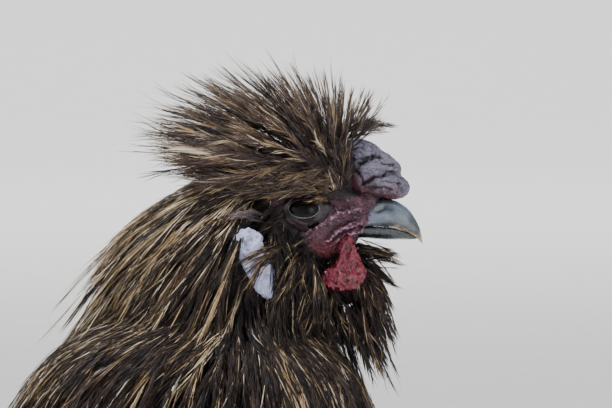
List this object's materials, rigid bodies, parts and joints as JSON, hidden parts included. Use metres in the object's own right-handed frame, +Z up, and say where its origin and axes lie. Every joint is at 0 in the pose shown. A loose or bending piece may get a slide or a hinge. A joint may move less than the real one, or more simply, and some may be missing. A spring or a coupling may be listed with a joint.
{
  "type": "silkie rooster",
  "caption": "Life-size standing silkie rooster, a still museum-style model with walnut comb, crest, muffs, hackle cape, loose wings, short tail and feathered feet.",
  "frame": {"origin": "on the floor, under the middle of the bird's length and width", "axes": "+X forward to the beak, +Y to the bird's left, +Z up"},
  "size_m": [0.2446, 0.1602, 0.3274],
  "materials": {
    "skin": "wrinkled mulberry face skin",
    "comb": "pitted grey-mulberry caruncle",
    "beak": "glossy slate horn with a pale tip",
    "wattle": "satin crimson-mulberry wattle",
    "earlobe": "soft bluish-white ear lobe",
    "eye": "wet near-black eye",
    "plumage": "silky brown-black down",
    "hackle": "silky dark hackle with cream streaks",
    "leg": "scaled slate-black leg",
    "claw": "satin dark horn claw"
  },
  "bodies": {
    "root": {"beak_lower": "beak", "beak_upper": "beak", "beard": "plumage", "claw_fifth_left": "claw", "claw_fifth_right": "claw", "claw_hind_left": "claw", "claw_hind_right": "claw", "claw_inner_left": "claw", "claw_inner_right": "claw", "claw_middle_left": "claw", "claw_middle_right": "claw", "claw_outer_left": "claw", "claw_outer_right": "claw", "comb": "comb", "crest": "plumage", "earlobe_left": "earlobe", "earlobe_right": "earlobe", "eye_left": "eye", "eye_right": "eye", "head": "skin", "leg_left": "leg", "leg_right": "leg", "muff_left": "plumage", "muff_right": "plumage", "neck": "hackle", "tail": "plumage", "thigh_left": "plumage", "thigh_right": "plumage", "toe_fifth_left": "leg", "toe_fifth_right": "leg", "toe_hind_left": "leg", "toe_hind_right": "leg", "toe_inner_left": "leg", "toe_inner_right": "leg", "toe_middle_left": "leg", "toe_middle_right": "leg", "toe_outer_left": "leg", "toe_outer_right": "leg", "torso": "plumage", "wattle_left": "wattle", "wattle_right": "wattle", "wing_left": "plumage", "wing_right": "plumage"}
  },
  "joints": []
}
